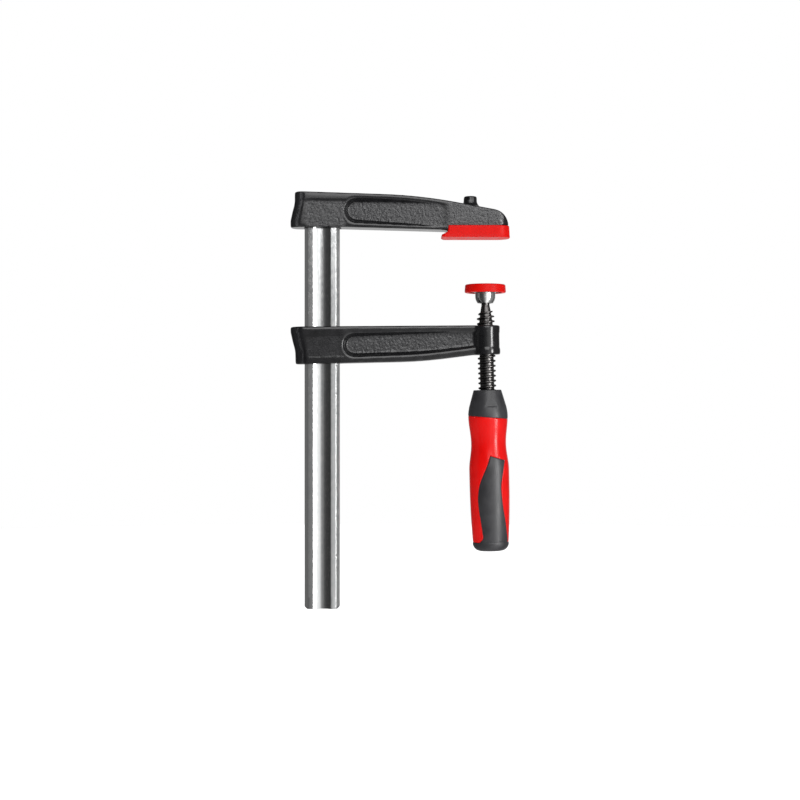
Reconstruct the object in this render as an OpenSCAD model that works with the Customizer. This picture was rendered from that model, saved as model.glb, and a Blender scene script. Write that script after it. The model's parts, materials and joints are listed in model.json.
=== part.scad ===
// F clamp: a fixed arm on a grooved rail, a sliding arm with a screw spindle,
// a swivelling pressure plate and a two-component handle.
// +Z runs up the rail, +X runs from the rail towards the jaws, -Y is the front.
// The origin is the centre of the fixed clamping face, on the clamping axis.

/* [Clamp] */
// Distance from the rail to the clamping axis
throat = 100; // [90:1:120]
// Gap between the two clamping faces as stored
opening = 31.7; // [30:0.1:40]
// Lean of the sliding arm and spindle, taken up by play on the rail, in degrees
lean = 1.3; // [0:0.1:1.4]
// Thickness of both cast arms
arm_t = 19; // [18:0.5:22]

/* [Rail] */
// Width of the rail, along the throat
rail_w = 24; // [20:0.5:26]
// Thickness of the rail
rail_t = 11; // [9:0.5:12]
// Height of the rail's top end above the fixed clamping face
rail_top = 31; // [30:0.5:31.5]
// Depth of the rail's bottom end below the fixed clamping face
rail_bottom = 254; // [230:1:400]
// Width of the concave groove down each broad side
groove_w = 12; // [8:0.5:14]
// Depth of the concave groove
groove_d = 1.8; // [0.5:0.1:2.5]
// Width of the chamfer on each long edge
rail_chamfer_w = 2.7; // [1:0.1:3]
// Depth of the chamfer on each long edge
rail_chamfer_t = 2; // [1:0.1:2.5]
// How far the swaged end lugs stand proud
lug_proud = 0.6; // [0.4:0.1:0.8]

/* [Fixed arm] */
// Height of the arm's top edge at the rail end
fixed_top = 31.8; // [31.6:0.1:34]
// Height of the arm's underside at the rail
fixed_bottom = 7; // [6:0.1:8]
// Downward slope of the top edge near the rail, in degrees
fixed_slope = 2; // [1:0.1:3]
// Downward slope of the top edge towards the nose, in degrees
nose_slope = 10.5; // [8:0.5:12]
// Radius of the nose, seen from the side
nose_r = 12.3; // [11.5:0.1:13]
// Diameter of the nub on top of the nose
nub_d = 9.3; // [6:0.1:12]
// Height of the nub's end above the fixed clamping face
nub_top = 29; // [27:0.5:32]

/* [Sliding arm] */
// Depth of the sliding arm where it runs on the rail
slider_h = 25.7; // [24:0.1:30]
// Diameter of the threaded boss
boss_d = 19.2; // [18:0.1:24]
// Play of the rail in the sliding arm's slot, across the rail
slot_play_w = 0.85; // [0.8:0.05:1.2]
// Play of the rail in the sliding arm's slot, through the rail
slot_play_t = 0.5; // [0.3:0.05:1]

/* [Caps] */
// Height of the fixed jaw cap's wall above the clamping face
jaw_cap_h = 8.2; // [7:0.1:10]
// Thickness of the fixed jaw cap's wall and floor
jaw_cap_wall = 1.8; // [1.2:0.1:2.5]
// Diameter of the pressure plate's cap
plate_cap_d = 28.5; // [26:0.1:34]
// Height of the pressure plate's cap
plate_cap_h = 5.7; // [5.2:0.1:7]

/* [Spindle] */
// Outside diameter of the thread
thread_d = 12.3; // [11:0.1:13]
// Root diameter of the thread
thread_root_d = 9.7; // [9:0.1:10]
// Pitch of the thread, which is also its lead
thread_pitch = 3.4; // [3:0.1:4]
// Radial clearance between the thread and the nut
thread_gap = 0.25; // [0.2:0.05:0.35]
// Radius of the ball on the spindle's end
ball_r = 4.4; // [4:0.1:4.6]
// Radius of the neck below the ball
neck_r = 2.8; // [2.5:0.1:3]

/* [Handle] */
// Length of the handle
handle_l = 110.4; // [100:0.1:120]
// Radius of the handle at the collar's ridge
ridge_r = 13.55; // [13:0.05:14]
// Radius of the handle at its waist
waist_r = 12; // [11:0.05:12.5]
// Radius of the handle at its belly
belly_r = 13.7; // [13:0.05:14.5]
// Radius of the handle where its end cap starts
base_r = 12.3; // [12:0.05:13]
// Thickness of the soft collar and of the soft grip panels
soft_t = 1.8; // [1.2:0.1:2.5]

/* [Hidden] */

fit_gap = 0.05;
cut = 1;
far = 400;
rail_x = -throat - rail_w / 2;
rail_outer_x = -throat - rail_w;

// rail ends
flare_h = 4;
flare_w = 1;
lug_low = 2.2;
lug_h = 3.8;
lug_t = 6;
flare_t = 7;
end_corner = 1.6;

// arm ends, seen from above
fixed_end_r = 7.5;
slider_end_r = 9.3;
nose_plan_r = 8;
end_flare = 2.9;

// fixed arm
fixed_end_x = rail_outer_x - 6.9;
fixed_nose_end_x = 16.1;
crown_x = -70;
crown_r = 339;
crown_z = fixed_top - (crown_x - fixed_end_x) * tan(fixed_slope) * 0.98;
nose_x = 6;
crown_end = arc_point([crown_x, crown_z], crown_r, -fixed_slope, -nose_slope);
nose_start = crown_end + (nose_x - crown_end[0]) * [1, -tan(nose_slope)];
nose_turn = 85;
underside_knee_x = 3 - throat;
underside_slope = 1.6;
underside_end_x = -27;
jaw_start_x = -23.4;
jaw_floor_z = 2.2;
jaw_cap_end_wall = 1.2;
jaw_cap_heel_r = 3.5;
nub_x = -10.3;
nub_base_r = 1.6;

// web pockets in both arms
pocket_wall = 2.2;
pocket_depth = 4.8;
pocket_inset = 3.4;
fixed_pocket_x = -88.2;
fixed_pocket_r = 8.5;
fixed_pocket_end_x = -26;
fixed_floor_slope = atan((pocket_depth - 0.05) / (fixed_pocket_end_x - fixed_pocket_x));

// pressure plate
plate_face_z = -opening;
cap_floor = 2;
disc_top_z = plate_face_z - cap_floor;
disc_h = 3;
disc_r = plate_cap_d / 2 - 1.9;
skirt_z = plate_face_z - plate_cap_h;
cup_r = 6.95;
cup_end_r = 5.8;
ball_z = plate_face_z - 8.3;
ball_gap = 0.1;
cup_end_drop = 4.6;
cup_cavity_r = 5.6;
mouth_r = 4.1;
ring_wire_r = 0.5;
ring_r = 3.95;
ring_drop = sqrt(pow(ball_r + ball_gap + ring_wire_r, 2) - pow(ring_r, 2));
ring_split = 24;

// sliding arm, upright before it leans
boss_top_z = -59.7;
boss_bottom_z = -80.1;
boss_waist = 0.4;
boss_rim_h = 5;
slider_slot_x = rail_x - 0.8;
slider_top_x = slider_slot_x - 21.6;
slider_end_x = slider_top_x + end_flare;
slider_top_slope = 0.85;
slider_bottom_z = boss_top_z + 1.7 - slider_h;
slider_knee_x = -60;
slider_rise_r = 300;
slider_rise_a = 6;
slider_pocket_x = -90.3;
slider_pocket_r = 8.2;
slider_pocket_z = -71.3;
slider_pocket_end_x = -5;
slider_web_t = 12.4;
slider_taper_x = -98;
slider_taper = atan((arm_t - slider_web_t) / 2 / -slider_taper_x);

// spindle
thread_r = thread_d / 2;
root_r = thread_root_d / 2;
crest_w = 0.8;
flank_w = 0.55;
thread_steps = 24;
neck_end_z = ball_z - 6.5;
neck_taper_h = 13.5;
thread_top_z = ball_z - 11.4;
thread_bottom_z = ball_z - 67;
thread_fade = 2.7;
nut_over = 2;
shank_r = 4.7;
shank_bottom_z = ball_z - 128;
tang_h = 20;
tang_w = 14;
tang_t = 3;

// handle, measured down from its top
handle_top_z = ball_z - 64.1;
cone_r = 9.5;
cone_h = 11.6;
cone_end_r = 12.8;
ridge_s = 17.7;
waist_s = 36.9;
belly_s = 55;
belly_crest_s = 64;
base_s = 104.3;
end_round_r = 5.4;
collar_s = 18.8;
collar_tilt = 5.5;
collar_seat_s = 2;
sleeve_l = 22;
socket_r = thread_r + 0.3;
socket_s = 4;
panel_proud = 0.15;

// Centre of an arc that starts at a point and turns clockwise, and its point where it has a given slope
function arc_centre(start, r, from) = start + r * [sin(from), -cos(from)];
function arc_point(start, r, from, slope) = arc_centre(start, r, from) + r * [-sin(slope), cos(slope)];

// Smooth blend from 0 to 1 as t goes from 0 to 1
function ease(t) = (1 - cos(180 * min(1, max(0, t)))) / 2;

// Underside of the fixed arm at a place along it
function fixed_underside(x) = fixed_bottom - max(0, x - underside_knee_x) * tan(underside_slope);

// Side view of the fixed arm, from its flared rail end to its nose
fixed_outline = concat(
    [for (i = [0:6]) [fixed_end_x - end_flare * ease(i / 6), 25 - 13 * i / 6]],
    [[fixed_end_x - end_flare, fixed_bottom]],
    [[underside_knee_x, fixed_bottom]],
    [[underside_end_x, fixed_underside(underside_end_x)]],
    [[jaw_start_x, jaw_floor_z]],
    [[nose_x + nose_r - 4, jaw_floor_z]],
    [for (i = [8:-1:0])
        arc_point(nose_start, nose_r, -nose_slope, -nose_slope - (nose_turn - nose_slope) * i / 8)],
    [for (i = [8:-1:0]) let (slope = -fixed_slope - (nose_slope - fixed_slope) * i / 8)
        arc_point([crown_x, crown_z], crown_r, -fixed_slope, slope)],
    [[fixed_end_x, fixed_top]]
);

// Height of the fixed arm's top edge at a place along it
function crown_at(x) =
    x < crown_x ? crown_z + (crown_x - x) * tan(fixed_slope)
    : crown_z - (x - crown_x) * tan(fixed_slope) - pow(x - crown_x, 2) / (2 * crown_r);

// Height of the sliding arm's top and bottom edges at a place along it
function slider_top(x) = boss_top_z - x * tan(slider_top_slope);
function slider_bottom(x) =
    x < slider_knee_x ? slider_bottom_z
    : slider_bottom_z
        + slider_rise_r * (1 - cos(min(slider_rise_a, asin((x - slider_knee_x) / slider_rise_r))))
        + max(0, x - slider_knee_x - slider_rise_r * sin(slider_rise_a)) * tan(slider_rise_a);

// Outline of a web pocket: a round left end, then an upper and a lower edge that follow the arm
function fixed_pocket(inset) = concat(
    [for (a = [90:15:270]) [fixed_pocket_x, crown_at(fixed_pocket_x) - pocket_inset - fixed_pocket_r]
        + (fixed_pocket_r - inset) * [cos(a), sin(a)]],
    [[fixed_pocket_end_x, fixed_underside(fixed_pocket_end_x) + 2 + inset]],
    [for (x = [fixed_pocket_end_x:-9:crown_x + 1]) [x, crown_at(x) - pocket_inset - inset]]
);
function slider_pocket(inset) = concat(
    [for (a = [90:15:270]) [slider_pocket_x, slider_pocket_z] + (slider_pocket_r - inset) * [cos(a), sin(a)]],
    [for (x = [slider_knee_x:11:slider_pocket_end_x]) [x, slider_bottom(x) + 4.6 + inset]],
    [[slider_pocket_end_x, slider_pocket_z + slider_pocket_r - inset]]
);

// Radius of the spindle's neck, which widens until it reaches the thread's root
function neck_radius(z) =
    neck_r + (root_r - neck_r) * pow(min(1, max(0, (neck_end_z - z) / neck_taper_h)), 0.75);

// Radius of the handle at a distance below its top
function handle_radius(s) =
    s < cone_h ? cone_r + (cone_end_r - cone_r) * s / cone_h
    : s < ridge_s ? cone_end_r + (ridge_r - cone_end_r) * sin(90 * (s - cone_h) / (ridge_s - cone_h))
    : s < waist_s ? ridge_r - (ridge_r - waist_r) * ease((s - ridge_s) / (waist_s - ridge_s))
    : s < belly_s ? waist_r + (belly_r - waist_r) * ease((s - waist_s) / (belly_s - waist_s))
    : s < belly_crest_s ? belly_r
    : belly_r - (belly_r - base_r) * pow((s - belly_crest_s) / (base_s - belly_crest_s), 2);

// Tilts a part of the spindle group about the ball's centre
module leaned() {
    translate([0, 0, ball_z]) rotate([0, -lean, 0]) translate([0, 0, -ball_z]) children();
}

// Extrudes a side view through the whole thickness of an arm
module side_plate(points, thickness) {
    translate([0, thickness / 2, 0]) rotate([90, 0, 0]) linear_extrude(thickness) polygon(points);
}

// The fixed arm seen from above, with rounded corners at both ends
module fixed_plan(from_x) {
    to_x = fixed_nose_end_x;
    for (side = [-1, 1]) {
        translate([from_x + fixed_end_r, side * (arm_t / 2 - fixed_end_r)]) circle(fixed_end_r, $fn = 32);
        translate([to_x - nose_plan_r, side * (arm_t / 2 - nose_plan_r)]) circle(nose_plan_r, $fn = 32);
    }
    translate([from_x + fixed_end_r, -arm_t / 2]) square([to_x - nose_plan_r - from_x - fixed_end_r, arm_t]);
    translate([from_x, fixed_end_r - arm_t / 2]) square([to_x - from_x, arm_t - 2 * fixed_end_r]);
}

// The sliding arm seen from above: rounded at the rail end, tapering towards the boss
module slider_plan(from_x) {
    for (side = [-1, 1])
        translate([from_x + slider_end_r, side * (arm_t / 2 - slider_end_r)]) circle(slider_end_r, $fn = 32);
    translate([from_x, slider_end_r - arm_t / 2]) square([slider_end_r, arm_t - 2 * slider_end_r]);
    polygon([
        [from_x + slider_end_r, -arm_t / 2], [slider_taper_x, -arm_t / 2], [0, -slider_web_t / 2],
        [0, slider_web_t / 2], [slider_taper_x, arm_t / 2], [from_x + slider_end_r, arm_t / 2]
    ]);
}

// One side of a pocket's outline, as a thin layer at a depth below the arm's face
module pocket_layer(points, left_x, depth, slope, thickness) {
    translate([left_x, depth - arm_t / 2, 0]) rotate([0, 0, slope]) translate([-left_x, 0, 0])
        rotate([90, 0, 0]) linear_extrude(thickness) polygon(points);
}

// A web pocket with sloping walls, cut into the front and the back of an arm
module pockets(outer, inner, left_x, face_slope, floor_slope) {
    for (back = [0, 1])
        mirror([0, back, 0]) hull() {
            pocket_layer(outer, left_x, 0, face_slope, cut);
            pocket_layer(inner, left_x, pocket_depth, floor_slope, 0.02);
        }
}

// Solid whose surface follows a single-start right-hand thread; the crest fades out at both ends
module threaded_bar(bottom_z, top_z, bar_root_r, bar_crest_r, crest, flank, fade) {
    steps = thread_steps;
    root_w = thread_pitch - crest - 2 * flank;
    turns = floor((top_z - bottom_z) / thread_pitch);
    heights = [0, root_w, root_w + flank, root_w + flank + crest];
    last = turns * steps;
    function crest_at(z) = fade == 0 ? bar_crest_r
        : bar_root_r + (bar_crest_r - bar_root_r) * min(1, (z - bottom_z) / fade, (top_z - z) / fade);
    function root_at(z) = fade == 0 ? bar_root_r : min(bar_root_r, neck_radius(z) - 0.1);
    function place(i, j) = let (
        z = bottom_z + i * thread_pitch / steps + heights[j],
        r = j < 2 ? root_at(z) : max(root_at(z), crest_at(z)),
        a = 360 * i / steps
    ) [r * cos(a), r * sin(a), z];
    strip = [for (i = [0:last], j = [0:3]) place(i, j)];
    upper_rim = [for (i = [last + 1:last + steps]) place(i, 0)];
    function root_point(i) = i <= last ? 4 * i : 4 * (last + 1) + i - last - 1;
    ends = [[0, 0, bottom_z], [0, 0, bottom_z + (turns + 1) * thread_pitch]];
    lower_centre = len(strip) + len(upper_rim);
    upper_centre = lower_centre + 1;
    walls = [for (i = [0:last - 1], j = [0:3], half = [0, 1])
        let (
            a = 4 * i + j,
            b = 4 * (i + 1) + j,
            c = j < 3 ? 4 * (i + 1) + j + 1 : root_point(i + 1 + steps),
            d = j < 3 ? 4 * i + j + 1 : root_point(i + steps)
        ) half == 0 ? [a, c, b] : [a, d, c]];
    lower_cap = [for (i = [0:steps - 1]) [lower_centre, root_point(i), root_point(i + 1)]];
    lower_step = [
        [lower_centre, root_point(steps), 3], [lower_centre, 3, 2],
        [lower_centre, 2, 1], [lower_centre, 1, 0]
    ];
    top = 4 * last;
    upper_cap = [for (i = [last:last + steps - 1]) [upper_centre, root_point(i + 1), root_point(i)]];
    upper_step = [
        [upper_centre, top, top + 1], [upper_centre, top + 1, top + 2],
        [upper_centre, top + 2, top + 3], [upper_centre, top + 3, root_point(last + steps)]
    ];
    polyhedron(concat(strip, upper_rim, ends), concat(walls, lower_cap, lower_step, upper_cap, upper_step));
}

module rail() {
    half_w = rail_w / 2;
    half_t = rail_t / 2;
    flat_w = half_w - rail_chamfer_w;
    flat_t = half_t - rail_chamfer_t;
    groove_r = (pow(groove_w / 2, 2) + pow(groove_d, 2)) / (2 * groove_d);
    color("silver")
    translate([rail_x, 0, 0]) {
        difference() {
            translate([0, 0, -rail_bottom]) linear_extrude(rail_top + rail_bottom) difference() {
                polygon([
                    [flat_w, -half_t], [half_w, -flat_t], [half_w, flat_t], [flat_w, half_t],
                    [-flat_w, half_t], [-half_w, flat_t], [-half_w, -flat_t], [-flat_w, -half_t]
                ]);
                for (side = [-1, 1])
                    translate([0, side * (half_t + groove_r - groove_d)]) circle(groove_r, $fn = 96);
            }
            for (side = [-1, 1])
                side_plate([
                    [side * (half_w + cut), -rail_bottom - cut],
                    [side * (half_w - end_corner - cut), -rail_bottom - cut],
                    [side * (half_w + cut), -rail_bottom + end_corner + cut]
                ], rail_t + cut);
        }
        for (side = [-1, 1]) {
            side_plate([
                [side * (half_w - cut), -rail_bottom + lug_low],
                [side * (half_w + lug_proud), -rail_bottom + lug_low],
                [side * (half_w + lug_proud), -rail_bottom + lug_low + lug_h / 2],
                [side * half_w, -rail_bottom + lug_low + lug_h],
                [side * (half_w - cut), -rail_bottom + lug_low + lug_h]
            ], lug_t);
            side_plate([
                [side * (half_w - cut), rail_top - flare_h],
                [side * half_w, rail_top - flare_h],
                [side * (half_w + flare_w), rail_top],
                [side * (half_w - cut), rail_top]
            ], flare_t);
        }
    }
}

module fixed_arm() {
    half_w = rail_w / 2 + fit_gap;
    color("#2b2b2d")
    difference() {
        union() {
            intersection() {
                side_plate(fixed_outline, arm_t);
                union() {
                    translate([0, 0, -cut]) linear_extrude(13) fixed_plan(fixed_end_x - end_flare);
                    hull() {
                        translate([0, 0, 11.9]) linear_extrude(0.1)
                            fixed_plan(fixed_end_x - end_flare);
                        translate([0, 0, 25]) linear_extrude(0.1) fixed_plan(fixed_end_x);
                    }
                    translate([0, 0, 25]) linear_extrude(13) fixed_plan(fixed_end_x);
                }
            }
            translate([nub_x, 0, 20]) cylinder(h = nub_top - 20, d = nub_d, $fn = 64);
            translate([nub_x, 0, 20])
                cylinder(h = 4.6, r1 = nub_d / 2 + 2 * nub_base_r, r2 = nub_d / 2, $fn = 64);
        }
        translate([rail_x, 0, 0]) {
            translate([-half_w, -rail_t / 2 - fit_gap, 0]) cube([2 * half_w, rail_t + 2 * fit_gap, far]);
            side_plate([
                [-half_w, rail_top - flare_h], [half_w, rail_top - flare_h], [half_w + flare_w, rail_top],
                [half_w + flare_w, fixed_top + cut], [-half_w - flare_w, fixed_top + cut],
                [-half_w - flare_w, rail_top]
            ], flare_t + 2 * fit_gap);
        }
        pockets(fixed_pocket(0), fixed_pocket(pocket_wall), fixed_pocket_x, 0, -fixed_floor_slope);
        translate([0, 0, -cut]) linear_extrude(jaw_cap_h + fit_gap + cut) difference() {
            translate([0, -arm_t]) square(2 * arm_t);
            cap_plan(-60, fixed_nose_end_x - jaw_cap_end_wall - fit_gap, arm_t, nose_plan_r, 1);
        }
    }
}

module fixed_jaw_cap() {
    inner_t = arm_t + 2 * fit_gap;
    outer_t = arm_t + 2 * jaw_cap_wall;
    nose_end = fixed_nose_end_x;
    lip_end = nose_end + 0.8;
    lip_h = 0.9;
    color("#d6201c")
    difference() {
        intersection() {
            side_plate([
                [-28.6, 0], [lip_end, 0], [lip_end, lip_h], [nose_end + 0.4, lip_h + 0.3],
                [nose_end, jaw_cap_h], [-25.6, jaw_cap_h], [-25.9, 4.3], [-26.6, 3.4],
                [-28.4, 2.5], [-30.2, 1.8], [-30.4, 1.2], [-30, 0.5]
            ], 2 * outer_t);
            union() {
                linear_extrude(jaw_cap_h)
                    cap_plan(-30.4, lip_end, outer_t, nose_plan_r + 1, jaw_cap_heel_r - 0.6);
                linear_extrude(lip_h)
                    cap_plan(-30.4, lip_end, outer_t + 1.2, nose_plan_r + 1.6, jaw_cap_heel_r);
            }
        }
        intersection() {
            side_plate([
                [jaw_start_x - fit_gap, jaw_floor_z - fit_gap], [nose_end, jaw_floor_z - fit_gap],
                [nose_end, jaw_cap_h + cut], [underside_end_x - 4, jaw_cap_h + cut],
                [underside_end_x - 4, fixed_underside(underside_end_x) - 0.1],
                [underside_end_x - fit_gap, fixed_underside(underside_end_x) - 0.1]
            ], inner_t);
            linear_extrude(far) cap_plan(-60, nose_end - jaw_cap_end_wall, inner_t, nose_plan_r, 1);
        }
    }
}

// The fixed jaw cap seen from above, with its toe radius at +X and its heel radius at -X
module cap_plan(from_x, to_x, thickness, toe_r, heel_r) {
    for (side = [-1, 1]) {
        translate([to_x - toe_r, side * (thickness / 2 - toe_r)]) circle(toe_r, $fn = 64);
        translate([from_x + heel_r, side * (thickness / 2 - heel_r)]) circle(heel_r, $fn = 64);
    }
    translate([from_x + heel_r, -thickness / 2]) square([to_x - toe_r - heel_r - from_x, thickness]);
    translate([to_x - 2 * toe_r, toe_r - thickness / 2]) square([2 * toe_r, thickness - 2 * toe_r]);
    translate([from_x, heel_r - thickness / 2]) square([2 * heel_r, thickness - 2 * heel_r]);
}

module sliding_arm() {
    top_left = slider_top(slider_top_x);
    boss_r = boss_d / 2;
    waist_boss_r = boss_r - boss_waist;
    color("#232324")
    leaned() difference() {
        union() {
            intersection() {
                side_plate(concat(
                    [[slider_top_x, top_left]],
                    [for (i = [0:6]) [slider_top_x + end_flare * ease(i / 6), top_left - 4 - 14 * i / 6]],
                    [[slider_end_x, slider_bottom_z]],
                    [for (i = [0:6]) let (x = slider_knee_x * (1 - i / 6)) [x, slider_bottom(x)]],
                    [[0, boss_top_z]]
                ), arm_t);
                union() {
                    translate([0, 0, -100]) linear_extrude(100 + top_left - 18) slider_plan(slider_end_x);
                    hull() {
                        translate([0, 0, top_left - 18.1]) linear_extrude(0.1) slider_plan(slider_end_x);
                        translate([0, 0, top_left - 4]) linear_extrude(0.1) slider_plan(slider_top_x);
                    }
                    translate([0, 0, top_left - 4]) linear_extrude(10) slider_plan(slider_top_x);
                }
            }
            rotate_extrude($fn = 96) polygon([
                [0, boss_bottom_z], [boss_r, boss_bottom_z],
                [boss_r, boss_bottom_z + boss_rim_h - boss_waist], [waist_boss_r, boss_bottom_z + boss_rim_h],
                [waist_boss_r, boss_top_z - boss_rim_h], [boss_r, boss_top_z - boss_rim_h + boss_waist],
                [boss_r, boss_top_z], [0, boss_top_z]
            ]);
        }
        translate([slider_slot_x - (rail_w + slot_play_w) / 2, -(rail_t + slot_play_t) / 2, -100])
            cube([rail_w + slot_play_w, rail_t + slot_play_t, 100]);
        difference() {
            pockets(slider_pocket(0), slider_pocket(pocket_wall), slider_pocket_x, slider_taper, 0);
            translate([0, 0, -100]) cylinder(h = 100, r = waist_boss_r, $fn = 96);
        }
        nut_thread();
    }
}

// The space that the spindle's thread turns in: the same helix, wider all round by the clearance
module nut_thread() {
    widening = thread_gap * 1.2;
    nut_turns = ceil((boss_top_z - boss_bottom_z + 2 * nut_over) / thread_pitch) + 1;
    first_turn = floor((boss_bottom_z - nut_over - thread_bottom_z) / thread_pitch) - 1;
    nut_bottom = thread_bottom_z + first_turn * thread_pitch;
    translate([0, 0, widening / 2])
        threaded_bar(nut_bottom, nut_bottom + (nut_turns + 0.5) * thread_pitch,
            root_r + thread_gap, thread_r + thread_gap, crest_w + widening, flank_w, 0);
}

module spindle() {
    color("#3a3632")
    leaned() {
        translate([0, 0, ball_z]) sphere(ball_r, $fn = 96);
        rotate_extrude($fn = 96) polygon(concat(
            [[0, ball_z], [neck_r, ball_z]],
            [for (i = [0:8]) let (z = neck_end_z - neck_taper_h * pow(i / 8, 1.5)) [neck_radius(z), z]],
            [[0, neck_end_z - neck_taper_h]]
        ));
        threaded_bar(thread_bottom_z, thread_top_z, root_r, thread_r, crest_w, flank_w, thread_fade);
        translate([0, 0, shank_bottom_z])
            cylinder(h = thread_bottom_z - shank_bottom_z + 2, r = shank_r - 0.3, $fn = 64);
        tang(0);
    }
}

// The flattened wings that key the spindle in the handle
module tang(gap) {
    translate([-tang_w / 2 - gap, -tang_t / 2 - gap, shank_bottom_z - gap])
        cube([tang_w + 2 * gap, tang_t + 2 * gap, tang_h + 2 * gap]);
}

module ball_snap_ring() {
    color("dimgray")
    leaned() translate([0, 0, ball_z - ring_drop]) rotate([0, 0, ring_split / 2])
        rotate_extrude(angle = 360 - ring_split, $fn = 96)
            translate([ring_r, 0]) circle(ring_wire_r, $fn = 32);
}

module pressure_plate() {
    seat_r = ball_r + ball_gap;
    seat_h = 1.2;
    color("gainsboro")
    difference() {
        rotate_extrude($fn = 96) polygon([
            [0, disc_top_z], [disc_r, disc_top_z], [disc_r, disc_top_z - disc_h],
            [cup_r + 1.2, disc_top_z - disc_h], [cup_r, disc_top_z - disc_h - 1],
            [cup_r - 0.25, ball_z - 1], [cup_end_r + 0.35, ball_z - cup_end_drop + 0.9],
            [cup_end_r - 0.3, ball_z - cup_end_drop], [0, ball_z - cup_end_drop]
        ]);
        translate([0, 0, ball_z]) {
            sphere(seat_r, $fn = 96);
            intersection() {
                sphere(cup_cavity_r, $fn = 96);
                translate([0, 0, seat_h - 20]) cylinder(h = 20, r = cup_cavity_r + cut, $fn = 96);
            }
            translate([0, 0, -cup_end_drop - cut]) cylinder(h = cup_end_drop + cut, r = mouth_r, $fn = 96);
        }
    }
}

module plate_cap() {
    cap_r = plate_cap_d / 2;
    round_r = 1.3;
    color("#d6201c")
    difference() {
        rotate_extrude($fn = 96) polygon(concat(
            [[0, skirt_z], [cap_r, skirt_z]],
            [for (a = [0:15:90])
                [cap_r - 0.4 - round_r * (1 - cos(a)), plate_face_z - round_r * (1 - sin(a))]],
            [[0, plate_face_z]]
        ));
        translate([0, 0, skirt_z - cut])
            cylinder(h = disc_top_z + fit_gap - skirt_z + cut, r = disc_r + fit_gap, $fn = 96);
    }
    color("#d6201c")
    difference() {
        translate([0, 0, skirt_z]) cylinder(h = 0.6, r = disc_r + cut, $fn = 96);
        translate([0, 0, skirt_z - cut]) cylinder(h = 3, r = disc_r - 0.8, $fn = 96);
    }
}

// Solid of revolution that follows the handle's profile, thinner all round by an inset
module handle_form(from_s, to_s, inset) {
    steps = ceil((to_s - from_s) / 3);
    rotate_extrude($fn = 96) polygon(concat(
        [[0, handle_top_z - from_s]],
        [for (i = [0:steps]) let (s = from_s + (to_s - from_s) * i / steps)
            [handle_radius(s) - inset, handle_top_z - s]],
        [[0, handle_top_z - to_s]]
    ));
}

// Everything below the slanted line where the soft collar ends
module below_collar() {
    translate([0, 0, handle_top_z - collar_s]) rotate([0, collar_tilt, 0])
        translate([-30, -30, -far]) cube([60, 60, far]);
}

// Front view of one soft grip panel, which sweeps across the handle and widens into the end cap
function panel_side(side) = side > 0
    ? [[10.4, 48.2], [8.9, 56.5], [7.5, 65.5], [8.2, 78], [10, 90.5], [11.3, 102]]
    : [[0.2, 45], [-3.6, 56], [-7.6, 66.5], [-8.6, 75.5], [-7.5, 86.5], [-6, 98]];
module panel_outline() {
    polygon([
        for (p = panel_side(-1)) [p[0], handle_top_z - p[1]],
        [-8.4, handle_top_z - base_s], [-15, handle_top_z - base_s - 0.5],
        [-15, handle_top_z - handle_l - cut],
        [15, handle_top_z - handle_l - cut], [15, handle_top_z - base_s],
        for (i = [5:-1:0]) [panel_side(1)[i][0], handle_top_z - panel_side(1)[i][1]]
    ]);
}

// The volume taken by the soft grip: a panel on the front, one on the back, and all of the end cap
module grip_zone() {
    for (side = [0, 180])
        rotate([0, 0, side]) rotate([90, 0, 0]) linear_extrude(20) panel_outline();
}

module handle_core() {
    color("#d6201c")
    leaned() difference() {
        union() {
            intersection() {
                handle_form(ridge_s - 3, base_s, 0);
                below_collar();
            }
            handle_form(collar_seat_s, sleeve_l, soft_t);
        }
        difference() {
            grip_zone();
            handle_form(30, base_s - 0.5, soft_t);
        }
        spindle_socket();
    }
}

// The socket that the handle is moulded around
module spindle_socket() {
    translate([0, 0, shank_bottom_z - fit_gap])
        cylinder(h = far, r = shank_r, $fn = 64);
    translate([0, 0, handle_top_z - socket_s]) cylinder(h = far, r = socket_r, $fn = 64);
    tang(fit_gap);
}

module handle_collar() {
    color("#2e2e30")
    leaned() difference() {
        handle_form(0, sleeve_l, 0);
        below_collar();
        handle_form(collar_seat_s - fit_gap, sleeve_l + cut, soft_t - fit_gap);
        translate([0, 0, handle_top_z - collar_seat_s - cut]) cylinder(h = 10, r = socket_r, $fn = 64);
    }
}

module handle_grip() {
    end_z = handle_top_z - handle_l;
    color("#2e2e30")
    leaned() difference() {
        intersection() {
            union() {
                handle_form(40, base_s, -panel_proud);
                rotate_extrude($fn = 96) polygon(concat(
                    [[0, handle_top_z - base_s + 1], [base_r, handle_top_z - base_s + 1]],
                    [for (a = [0:15:75])
                        [base_r - end_round_r * (1 - cos(a)), end_z + end_round_r * (1 - sin(a))]],
                    [[base_r - end_round_r - 1, end_z], [0, end_z]]
                ));
            }
            grip_zone();
        }
        handle_form(30, base_s - 0.5 + fit_gap, soft_t - fit_gap);
    }
}

rail();
fixed_arm();
fixed_jaw_cap();
sliding_arm();
spindle();
ball_snap_ring();
pressure_plate();
plate_cap();
handle_core();
handle_collar();
handle_grip();
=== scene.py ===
"""Looks of the F clamp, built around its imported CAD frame.

Lengths are in millimetres while a mesh is being made, and in metres in Blender. +Z runs up the rail,
+X runs from the rail to the jaws and -Y is the front, as in the frame.
"""

import json
import math

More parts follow.
